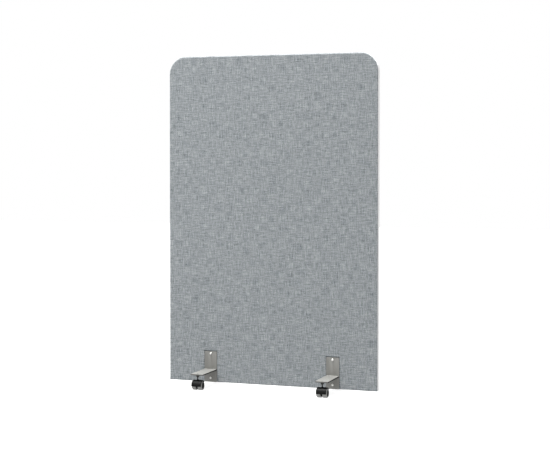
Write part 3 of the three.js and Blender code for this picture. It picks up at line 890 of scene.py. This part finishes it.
def cover_depth(places, swell):
    """Y of the cover's face: crowned, rolled at the rim and pulled in under the plates."""
    rim = np.clip(rim_distance(places[:, 0], places[:, 1]) + CLOTH_GROW, 0, None)
    beside = plate_distance(places[:, 0], places[:, 1])
    bulge = swell(places[:, 0], places[:, 1])
    # hand-scale unevenness of stretched cloth over wadding
    uneven = np.array([noise.fractal(Vector((x * 0.011, z * 0.011, 3.7)), 0.6, 2.0, 3)
                       for x, z in places]) * 0.22
    bulge = bulge + uneven * ease(rim / 40)
    # beside a plate the padding rises steeply, then eases into the face
    tuck = 1 - (1 - np.clip((beside - TUCK_START) / TUCK_WIDTH, 0, 1)) ** TUCK_POWER
    t = np.clip(1 - rim / ROLL_WIDTH, 0, 1)
    roll = 1 - np.sqrt(np.clip(1 - t * t, 0, 1))
    proud = (PAD_PROUD + bulge) * tuck
    rolled_y = cover_hi[1] - 0.25
    sink = 0.06          # the cloth lies this much deeper under a plate
    return (cover_lo[1] - proud) * (1 - roll) + rolled_y * roll + sink * (1 - tuck)


def add_cover_back(shape, rings):
    """Flat back between the rings, with the screw holes left open."""
    points, edges = [], []
    for ring in rings:
        start = len(points)
        points += [Vector((v.co.x, v.co.z)) for v in ring]
        edges += [(start + i, start + (i + 1) % len(ring)) for i in range(len(ring))]
    verts = [v for ring in rings for v in ring]
    places, _, faces, sources, *_ = geometry.delaunay_2d_cdt(points, edges, [], 0, 1e-8)
    source_vert = [verts[old[0]] if old else None for old in sources]
    for face in faces:
        centre = sum((places[i] for i in face), Vector((0, 0))) / len(face) * 1000
        rim = rim_distance(np.array(centre.x), np.array(centre.y)) + CLOTH_GROW
        in_hole = any(math.hypot(centre.x - hx, centre.y - hz) < HOLE_CLEAR for hx, hz in SCREWS)
        if rim < 1e-4 or in_hole:
            continue
        corners = [source_vert[i] for i in face]
        if None not in corners and len(set(corners)) == len(corners):
            shape.faces.new(corners)


def paint_crease_shade(mesh):
    """Painted shade in the crease round a back plate, darkest just above its top; kept as a point
    attribute that darkens the cloth.
    """
    co = np.empty(len(mesh.vertices) * 3)
    mesh.vertices.foreach_get("co", co)
    co = co.reshape(-1, 3) * 1000
    beside = np.maximum(plate_distance(co[:, 0], co[:, 2]), 0)
    above = ease((co[:, 2] - plate_hi[2] + 1.5) / 2.0)
    painted_crease_shade = (np.exp(-(beside / 2.0) ** 2) * 0.10 * (1 - above)
             + np.exp(-((beside - 1.3) / 3.0) ** 2) * 0.62 * above)
    painted_crease_shade = painted_crease_shade * (co[:, 1] < cover_hi[1] - 0.5)
    mesh.attributes.new("painted_crease_shade", "FLOAT", "POINT").data.foreach_set("value", painted_crease_shade)


def cover_mesh(name, swell):
    """Padded cloth cover for the front."""
    points, edges, loops = cover_points()
    verts, _, faces, sources, *_ = geometry.delaunay_2d_cdt(
        [Vector(p) for p in points], edges, [], 0, 1e-5)
    new_index = {old: new for new, olds in enumerate(sources) for old in olds}
    places = np.array([(v.x, v.y) for v in verts])
    depth = cover_depth(places, swell)
    shape = bmesh.new()
    front = add_points(shape, [(x, y, z) for (x, z), y in zip(places, depth)])
    for face in cover_faces(places, faces):
        shape.faces.new([front[i] for i in face])
    # walls from the rim and the holes to the back
    rings = []
    for start, count in loops:
        loop = [new_index[start + i] for i in range(count)]
        ring = add_points(shape, [(places[i][0], cover_hi[1], places[i][1]) for i in loop])
        rings.append(ring)
        for i in range(count):
            j = (i + 1) % count
            if loop[i] != loop[j]:
                shape.faces.new((front[loop[i]], front[loop[j]], ring[j], ring[i]))
    add_cover_back(shape, rings)
    loose = [v for v in shape.verts if not v.link_faces]
    bmesh.ops.delete(shape, geom=loose, context="VERTS")
    mesh = finished_mesh(name, shape, 50)
    paint_crease_shade(mesh)
    return mesh


def turned_cover(name, mesh):
    """The front cover turned half round Z."""
    shape = bmesh.new()
    shape.from_mesh(mesh)
    transform(shape, Matrix.Rotation(math.pi, 4, "Z"))
    return finished_mesh(name, shape, 50)


def band_mesh():
    """Flat edging strip with rounded outer arrises, swept along the panel's outline."""
    y0, y1, r = band_lo[1], band_hi[1], BAND_ARRIS

    def arris(degrees):
        angle = math.radians(degrees)
        return r - r * math.cos(angle), r * math.sin(angle)
    # (inset from the outer face, y)
    section = [(0.0, y0 + r)]
    section += [(inset, y0 + r - out) for inset, out in map(arris, (22, 45, 68, 90))]
    section += [(BAND_THICK, y0), (BAND_THICK, y1)]
    section += [(inset, y1 - r + out) for inset, out in map(arris, (90, 68, 45, 22))]
    section += [(0.0, y1 - r)]
    section += [(0.0, y) for y in np.linspace(y1 - r, y0 + r, 5)[1:-1]]
    shape = bmesh.new()
    rings = [add_points(shape, [(x, y, z) for x, z in panel_outline(inset, 24.0)])
             for inset, y in section]
    for first, second in zip(rings, rings[1:] + rings[:1]):
        bridge(shape, first, second)
    return finished_mesh("edging_strip", shape, 35)


front_cover = cover_mesh("front_cover_cloth", padding_swell())
rear_cover = turned_cover("rear_cover_cloth", front_cover)
place("front_cover_cloth", front_cover, "fabric", "front_fabric_cover")
place("rear_cover_cloth", rear_cover, "fabric", "rear_fabric_cover")
place("edging_strip", band_mesh(), "edge_band", "edge_band")


# =====================================================================
# bracket pieces, built for a front foot with its centre line at X = 0
# =====================================================================
def back_plate_mesh():
    outline = rounded_rect(-PLATE_HALF, PLATE_HALF, plate_lo[2], plate_hi[2],
                           (PLATE_CORNER_R,) * 4)
    holes = [circle(0, z, 4.5) for z in SCREW_HEIGHTS]
    shape = prism(outline, 0, plate_hi[1] - plate_lo[1], bevel=0.55, holes=holes)
    # the outline turns up into XZ; the thickness runs toward -Y
    transform(shape, Matrix.Translation((0, plate_hi[1] * mm, 0))
              @ Matrix.Rotation(math.pi / 2, 4, "X"))
    return finished_mesh("bracket_upright", shape, 40, True)


def weld_bead(y, z, up):
    """A short rippled fillet weld along X, rising (up = 1) or hanging (up = -1) from z."""
    half = PLATE_HALF - 3.0
    spacing, ripple = 0.55, 2.4
    root = -0.5 * up            # the root lies 0.5 mm below z on either bead
    rows = []
    for x in np.arange(-half, half + 1e-6, spacing):
        taper = min(1.0, (half - abs(x)) / 1.6 + 0.12)
        leg = BEAD_LEG * (0.93 + 0.06 * math.sin(x * 2 * math.pi / ripple)
                          + 0.05 * noise.noise(Vector((x * 0.21, up, 0)))) * taper
        crown = 0.62 + 0.05 * math.sin(x * 2 * math.pi / ripple + 1.1)
        section = [(0.0, root), (0.0, leg)]
        for t in (0.25, 0.5, 0.75):
            angle = t * math.pi / 2
            section.append((-leg * math.sin(angle) * (0.72 + 0.1 * crown),
                            leg * math.cos(angle) * (0.72 + 0.1 * crown)))
        section += [(-leg, 0.0), (-leg, root)]
        rows.append([(x, y + out, z + up * rise) for out, rise in section])
    shape = capped_loft(rows)
    bmesh.ops.recalc_face_normals(shape, faces=shape.faces)
    return shape


def foot_plate_mesh():
    y0, y1 = foot_lo[1], foot_hi[1]
    outline = rounded_rect(-PLATE_HALF, PLATE_HALF, y0, y1,
                           (PLATE_CORNER_R, PLATE_CORNER_R, 0.4, 0.4))
    shape = prism(outline, FOOT_LOW, FOOT_TOP, bevel=0.6, holes=[circle(0, STEM_Y, 4.4)])
    beads = [weld_bead(y1, FOOT_TOP, 1), weld_bead(y1, FOOT_LOW, -1)]
    return finished_mesh("bracket_foot", boolean(shape, beads, "UNION"), 40, True)


def button_profile():
    """Short cylinder, then a dome that flattens at the crown, as (radius, height)."""
    rim, rim_top = HEAD_R, 0.62
    points = [(rim - 0.25, 0.0), (rim, 0.22), (rim, rim_top)]
    for t in np.linspace(0.08, 1, 12):
        angle = t * math.pi / 2
        points.append((rim * 0.46 + (rim * 0.54) * math.cos(angle),
                       rim_top + (HEAD_H - rim_top) * math.sin(angle)))
    return points + [(2.75, HEAD_H), (2.45, HEAD_H - 0.12)]


def head_with_socket(shank):
    """Button head with a hexagon socket, on a shank given as (radius, height)."""
    shape = lathe([(0, shank[0][1])] + shank + button_profile() + [(0, HEAD_H - 0.12)], 48)
    socket = prism(hexagon(4.0), HEAD_H - 2.0, HEAD_H + 1)
    drill_tip = lathe([(0, HEAD_H - 2.6), (2.0, HEAD_H - 1.95), (0, HEAD_H - 1.94)], 24)
    return boolean(shape, [socket, drill_tip])


def screw_mesh():
    shank_r, thread_root = 2.8, 2.45
    shank = [(2.3, -29.0), (shank_r, -28.4)]
    for k in range(18):         # rolled thread on the far part of the shank
        z = -28.0 + k * 1.0
        shank += [(shank_r, z), (thread_root, z + 0.5)]
    shank += [(shank_r, -9.5), (shank_r, 0.0)]
    # the head turns from +Z to -Y
    shape = transform(head_with_socket(shank), Matrix.Rotation(math.pi / 2, 4, "X"))
    return finished_mesh("button_screw", shape, 35)


def sleeve_mesh():
    shape = head_with_socket([(3.7, -26.0), (4.0, -25.7), (4.0, 0.0)])
    bore = lathe([(0, -27), (3.3, -27), (3.3, -2.2), (0, -1.2)], 32)
    # the head turns from +Z to +Y
    shape = transform(boolean(shape, [bore]), Matrix.Rotation(-math.pi / 2, 4, "X"))
    return finished_mesh("sleeve_nut", shape, 35)


# =====================================================================
# caster pieces
# =====================================================================
def stem_mesh():
    z0, z1 = stem_lo[2], stem_hi[2]
    boss, collar = hood_hi[2], nut_lo[2] - 0.1
    pin_r, thread_r, thread_root, thread_pitch = 2.8, 4.0, 3.45, 1.25
    # (radius, z): pin, groove at the hood's top, collar, thread
    profile = [
        (0, z0), (2.1, z0), (pin_r, z0 + 0.9), (pin_r, boss - 1.2),
        (2.6, boss - 0.4), (2.6, boss + 0.3), (pin_r, boss + 0.6),
        (pin_r, collar - 2.9), (3.1, collar - 2.2), (4.3, collar - 1.6), (5.6, collar - 1.25),
        (6.0, collar - 0.9), (6.0, collar - 0.2), (5.8, collar), (thread_r, collar),
        (thread_r, nut_lo[2])]
    z = nut_lo[2] + 0.2
    while z < z1 - 1.4:
        profile += [(thread_r, z), (thread_root, z + 0.62)]
        z += thread_pitch
    profile += [(thread_r, z1 - 0.75), (3.3, z1), (0, z1)]
    return finished_mesh("caster_stem", shift(lathe(profile, 48), STEM_Y), 35)


def nut_mesh():
    """Hexagon nut with turned corners and a countersunk bore."""
    low, top = nut_lo[2], nut_hi[2]
    across_flats = 13.0
    r = across_flats / 2
    corners = lathe([(0, low), (r * 0.93, low), (r * 1.165, low + 0.95),
                     (r * 1.165, top - 0.95), (r * 0.93, top), (0, top)], 96)
    shape = boolean(prism(hexagon(across_flats), low, top), [corners], "INTERSECT")
    bore = lathe([(0, low - 1), (5.2, low - 1), (4.3, low + 0.55), (4.3, top - 0.55),
                  (5.2, top + 1), (0, top + 1)], 48)
    return finished_mesh("lock_nut", shift(boolean(shape, [bore]), STEM_Y), 25)


def hood_mesh():
    """Moulded hood: a crowned fender over both wheels, a web between them and the swivel
    socket on top."""
    def around_axle(radius, degrees):
        return (AXLE_Y + radius * math.cos(math.radians(degrees)),
                AXLE_Z + radius * math.sin(math.radians(degrees)))
    half = (hood_hi[0] - hood_lo[0]) / 2
    outer = AXLE_Y - hood_lo[1]
    inner = outer - 2.9
    # section across the fender: (x, radius), outer surface first
    section = [
        (-half, inner + 0.2), (-half, inner + 1.3), (-half + 0.8, outer - 0.62),
        (-half + 2.6, outer - 0.2), (-9, outer - 0.03), (0, outer), (9, outer - 0.03),
        (half - 2.6, outer - 0.2), (half - 0.8, outer - 0.62), (half, inner + 1.3),
        (half, inner + 0.2), (half - 1.2, inner), (0, inner), (-half + 1.2, inner)]
    start, end, steps = 34.0, 184.0, 44       # degrees round the axle, from +Y over the top
    bowed_steps, bow = 6, 5.0                 # the first edge bows out by up to 5 degrees
    rows = []
    for k in range(steps + 1):
        row = []
        for x, radius in section:
            angle = start + (end - start) * k / steps
            if k < bowed_steps:
                angle -= (bowed_steps - k) / bowed_steps * bow * (1 - (x / half) ** 2)
            row.append((x, *around_axle(radius, angle)))
        rows.append(row)
    fender = capped_loft(rows)

    # web between the wheels, carried down around the axle; drawn in YZ, thick along X
    web_outline = [around_axle(outer - 0.8, angle) for angle in np.linspace(33, 184, 30)]
    web_outline += [around_axle(16.5, angle) for angle in np.linspace(200, 362, 22)]
    web = transform(prism(web_outline, -4.1, 4.1),
                    Matrix(((0, 0, 1, 0), (1, 0, 0, 0), (0, 1, 0, 0), (0, 0, 0, 1))))
    top = hood_hi[2]
    boss = shift(lathe([(0, 42.5), (8.6, 42.5), (7.6, 44.6), (5.8, 45.8), (4.6, 46.8),
                        (4.3, top - 0.6), (3.9, top), (0, top)], 48), STEM_Y)
    shape = boolean(fender, [web, boss], "UNION")
    stem_bore = shift(lathe([(0, 28.4), (3.2, 28.4), (3.2, top + 1), (0, top + 1)], 32), STEM_Y)
    axle_bore = shift(lathe([(0, -30), (2.8, -30), (2.8, 30), (0, 30)], 32, along_x=True),
                      AXLE_Y, AXLE_Z)
    shape = boolean(shape, [stem_bore, axle_bore])
    return moulded_skin(shape, voxel=0.5, iterations=4, factor=0.5)


def axle_mesh():
    half, r, chamfer = 18.8, 2.5, 0.5
    shape = lathe([(0, -half), (r - chamfer, -half), (r, -half + chamfer),
                   (r, half - chamfer), (r - chamfer, half), (0, half)], 32, along_x=True)
    return finished_mesh("wheel_axle", shift(shape, AXLE_Y, AXLE_Z), 35)


def wheel_core():
    """Wheel centre on the +X side, as (radius, x) from the inner face to the cap."""
    face = WHEEL_IN
    profile = [
        (0, 19.3), (2.8, 19.3), (2.8, face + 0.2), (5.6, face + 0.2), (6.1, face + 0.5),
        (6.3, face + 0.9), (6.5, face + 1.6), (11.8, face + 1.6), (12.3, face + 1.2),
        (12.6, face + 0.8), (CORE_R - 0.4, face + 0.75), (CORE_R, face + 1.0),
        (CORE_R, WHEEL_OUT - 0.45), (CORE_R - 0.12, WHEEL_OUT - 0.15),
        (CORE_R - 0.4, WHEEL_OUT)]
    # cap: a land, a fine groove, then a shallow dome with a dimple
    cap = WHEEL_OUT
    profile += [(14.3, cap + 0.04), (13.9, cap - 0.04), (13.65, cap - 0.4), (13.4, cap - 0.02)]
    profile += [(r, cap + 0.06 + 0.45 * (1 - (r / 13.3) ** 2))
                for r in (12.8, 11.6, 10.2, 8.6, 7.0, 5.2)]
    profile += [(4.4, cap + 0.42), (4.0, cap + 0.2), (3.4, cap + 0.05), (2.0, cap + 0.02),
                (0, cap + 0.02)]
    return lathe(profile, 72, along_x=True)


def wheel_tread():
    """Tyre on the +X side, as (radius, x) from the inner face to the outer one."""
    bore, r, face = 15.45, WHEEL_R, WHEEL_IN
    profile = [(bore, face), (18.5, face), (19.2, face + 0.1)]
    profile += [(r - 1.0 + 1.0 * math.sin(math.radians(angle)),
                 face + 1.2 - 1.1 * math.cos(math.radians(angle))) for angle in (20, 45, 70)]
    profile += [(r - 0.02, face + 1.7), (r, face + 4.0), (r, 17.0), (r - 0.02, 19.4)]
    # the tread rounds over into a bulging side wall round the cap
    profile += [(r - 0.12, 20.1), (r - 0.42, 21.1), (r - 0.9, 22.1), (r - 1.6, 23.1),
                (r - 2.4, 23.95), (r - 3.2, 24.5), (r - 3.9, 24.8), (bore, 24.88)]
    return lathe(profile, 96, closed=True, along_x=True)


def wheel_mesh(key, make, direction):
    shape = make()
    if direction < 0:
        transform(shape, Matrix.Rotation(math.pi, 4, "Z"))
    shift(shape, AXLE_Y, AXLE_Z)
    return finished_mesh(f"wheel_{key}_{'p' if direction > 0 else 'm'}", shape, 30)


# =====================================================================
# placing the feet and screws
# =====================================================================
back_plate, foot_plate = back_plate_mesh(), foot_plate_mesh()
screw, sleeve = screw_mesh(), sleeve_mesh()
stem, nut, hood, axle = stem_mesh(), nut_mesh(), hood_mesh(), axle_mesh()
wheels = {(key, direction): wheel_mesh(key, make, direction)
          for key, make in (("core", wheel_core), ("tread", wheel_tread))
          for direction in (1, -1)}
SIDES = (("left", -1), ("right", 1))


def place_foot(foot, turn, side):
    """All pieces of one foot; a rear foot is the front one turned half round Z."""
    at = (Matrix.Translation((side * abs(FOOT_X) * mm, 0, 0))
          @ Matrix.Rotation(turn, 4, "Z"))
    caster = f"{foot}_caster"
    # (name, mesh, slot, CAD node, body, finish)
    for name, mesh, slot, node, body, finish in (
            ("upright", back_plate, "bracket_steel", "back_plate", ROOT, None),
            ("foot", foot_plate, "bracket_steel", "foot_plate", ROOT, "bracket_foot"),
            ("stem", stem, "stem_steel", "caster_stem", ROOT, None),
            ("nut", nut, "stem_steel", "lock_nut", ROOT, None),
            ("hood", hood, "caster_plastic", "caster_hood", caster, None),
            ("wheel_axle", axle, "zinc", "axle", caster, None)):
        place(f"{foot}_{name}", mesh, slot, f"{foot}_{node}", body, at, finish)
    for direction in (1, -1):
        outward = direction * (-1 if turn else 1) * side
        which = "outer" if outward > 0 else "inner"
        body = f"{foot}_{which}_wheel"
        place(f"{foot}_{which}_hub", wheels["core", direction], "caster_plastic",
              f"{body}_core", body, at)
        place(f"{foot}_{which}_tread", wheels["tread", direction], "tread",
              f"{body}_tread", body, at)


for end, turn in (("front", 0.0), ("rear", math.pi)):
    for side_name, side in SIDES:
        place_foot(f"{end}_{side_name}", turn, side)

for side_name, side in SIDES:
    for level, height in zip(("lower", "upper"), SCREW_HEIGHTS):
        x, y, z = side * abs(FOOT_X) * mm, (plate_lo[1] - 0.05) * mm, height * mm
        piece = f"{side_name}_{level}"
        place(f"{piece}_button_screw", screw, "zinc", f"{piece}_screw",
              matrix=Matrix.Translation((x, y, z)))
        place(f"{piece}_sleeve", sleeve, "zinc", f"{piece}_sleeve_nut",
              matrix=Matrix.Translation((x, -y, z)))

# the pieces inside the panel keep their CAD shape and get their own finish
slot_of = {part["node"]: part["material_slot"] for part in frame["record"]["subparts"]}
for node, obj in frame["nodes"].items():
    if not obj.hide_render:
        obj.data.materials.clear()
        obj.data.materials.append(MATERIALS[slot_of[node]])


# =====================================================================
# floor, light and camera (metres)
# =====================================================================
def make_floor_material():
    mat = Material("floor_pale")
    cloud = mat.noise(scale=3, detail=3.0)
    # its own glow leaves only a breath of shadow under the casters
    mat.set(Base_Color=mat.mix(mat.remap(cloud, span=(0.3, 0.7)),
                               start=(0.27, 0.27, 0.27), end=(0.29, 0.29, 0.29)),
            Roughness=0.9, Specular_IOR_Level=0.1,
            Emission_Color=(1.0, 1.0, 1.0, 1.0), Emission_Strength=0.86)
    return mat.material


def add_floor():
    """Flat pale sheet, reaching half_size from the middle each way."""
    cells, half_size = 40, 14.0
    shape = bmesh.new()
    grid = [[shape.verts.new((half_size * (i / cells - 0.5) * 2,
                              half_size * (j / cells - 0.5) * 2, 0)) for i in range(cells + 1)]
            for j in range(cells + 1)]
    for j in range(cells):
        for i in range(cells):
            shape.faces.new((grid[j][i], grid[j][i + 1], grid[j + 1][i + 1], grid[j + 1][i]))
    mesh = finished_mesh("pale_floor", shape, None)
    mesh.materials.append(make_floor_material())
    sheet = bpy.data.objects.new("pale_floor", mesh)
    bpy.context.scene.collection.objects.link(sheet)
    # the room's light stands for what a white floor would throw back up
    sheet.visible_diffuse = False
    sheet.visible_glossy = False
    sheet.visible_transmission = False


def make_world():
    """White to the camera, an even grey in reflections, and brighter from below as light."""
    from_below, from_above, in_reflections = 0.86, 0.04, 0.64
    world = bpy.data.worlds.new("studio")
    bpy.context.scene.world = world
    world.use_nodes = True
    nodes = Nodes(world.node_tree)
    output = nodes.node("ShaderNodeOutputWorld")
    white = (1, 1, 1, 1)
    seen = nodes.node("ShaderNodeBackground", {"Color": white, "Strength": 1.0})
    rays = nodes.node("ShaderNodeLightPath").outputs
    coords = nodes.node("ShaderNodeTexCoord")
    direction = nodes.node("ShaderNodeSeparateXYZ", {0: coords.outputs["Generated"]})
    strength = nodes.remap(direction.outputs["Z"], span=(-0.6, 0.5),
                           to=(from_below, from_above), interpolation_type="SMOOTHSTEP")
    light = nodes.node("ShaderNodeBackground", {"Color": white, "Strength": strength})
    gloss = nodes.node("ShaderNodeBackground", {"Strength": in_reflections})
    unseen = nodes.node("ShaderNodeMixShader", {
        0: rays["Is Glossy Ray"], 1: light.outputs[0], 2: gloss.outputs[0]})
    total = nodes.node("ShaderNodeMixShader", {
        0: rays["Is Camera Ray"], 1: unseen.outputs[0], 2: seen.outputs[0]})
    nodes.feed(output.inputs[0], total.outputs[0])
    world.cycles.sampling_method = "NONE"


def add_to_scene(name, data):
    obj = bpy.data.objects.new(name, data)
    bpy.context.scene.collection.objects.link(obj)
    obj.rotation_mode = "QUATERNION"
    return obj


def soft_sun(name, come_from, angle, level):
    """Even, soft light from a direction. level 1 makes a white surface that faces it white."""
    light = bpy.data.lights.new(name, "SUN")
    light.angle = math.radians(angle)
    light.energy = level * math.pi
    sun = add_to_scene(name, light)
    sun.rotation_quaternion = Vector(come_from).to_track_quat("Z", "Y")
    sun.location = Vector(come_from).normalized() * 6


def near_softbox(location, target, size, watts):
    light = bpy.data.lights.new("near_softbox", "AREA")
    light.shape, light.size, light.size_y, light.energy = "RECTANGLE", size, size, watts
    box = add_to_scene("near_softbox", light)
    box.location = location
    box.rotation_quaternion = (Vector(target) - box.location).to_track_quat("-Z", "Y")


def add_camera(location, yaw, pitch, roll, lens, shift_x, shift_y):
    """Camera looking along +Y, turned by yaw toward -X, pitch upward and roll, in degrees."""
    data = bpy.data.cameras.new("camera")
    camera = add_to_scene("camera", data)
    bpy.context.scene.camera = camera
    data.sensor_fit = "HORIZONTAL"
    data.sensor_width = 36.0
    data.lens = lens
    data.shift_x, data.shift_y = shift_x, shift_y
    data.clip_start, data.clip_end = 0.05, 60.0
    yaw, pitch, roll = map(math.radians, (yaw, pitch, roll))
    forward = Vector((-math.sin(yaw) * math.cos(pitch), math.cos(yaw) * math.cos(pitch),
                      math.sin(pitch)))
    level_right = Vector((math.cos(yaw), math.sin(yaw), 0))
    level_up = level_right.cross(forward)
    right = level_right * math.cos(roll) + level_up * math.sin(roll)
    up = level_up * math.cos(roll) - level_right * math.sin(roll)
    camera.location = location
    camera.rotation_quaternion = Matrix((right, up, -forward)).transposed().to_quaternion()


add_floor()
make_world()
soft_sun("overhead_softbox", come_from=(-0.12, -0.035, 1.0), angle=30, level=3.45)
soft_sun("rim_softbox", come_from=(0.9, 0.42, 0.40), angle=40, level=0.43)
soft_sun("front_fill", come_from=(0.12, -1.0, 0.03), angle=50, level=0.46)
near_softbox(location=(-2.6, -2.0, 2.9), target=(0, 0, 0.8), size=1.8, watts=56)
add_camera(location=(2.06349, -5.79667, 1.04299), yaw=19.5, pitch=-1.32, roll=0.03,
           lens=88.7170909, shift_x=0.00129090909, shift_y=-0.0638727273)

view = bpy.context.scene.view_settings
view.view_transform = "Standard"
view.look = "None"
view.exposure = 0.0
view.gamma = 1.0
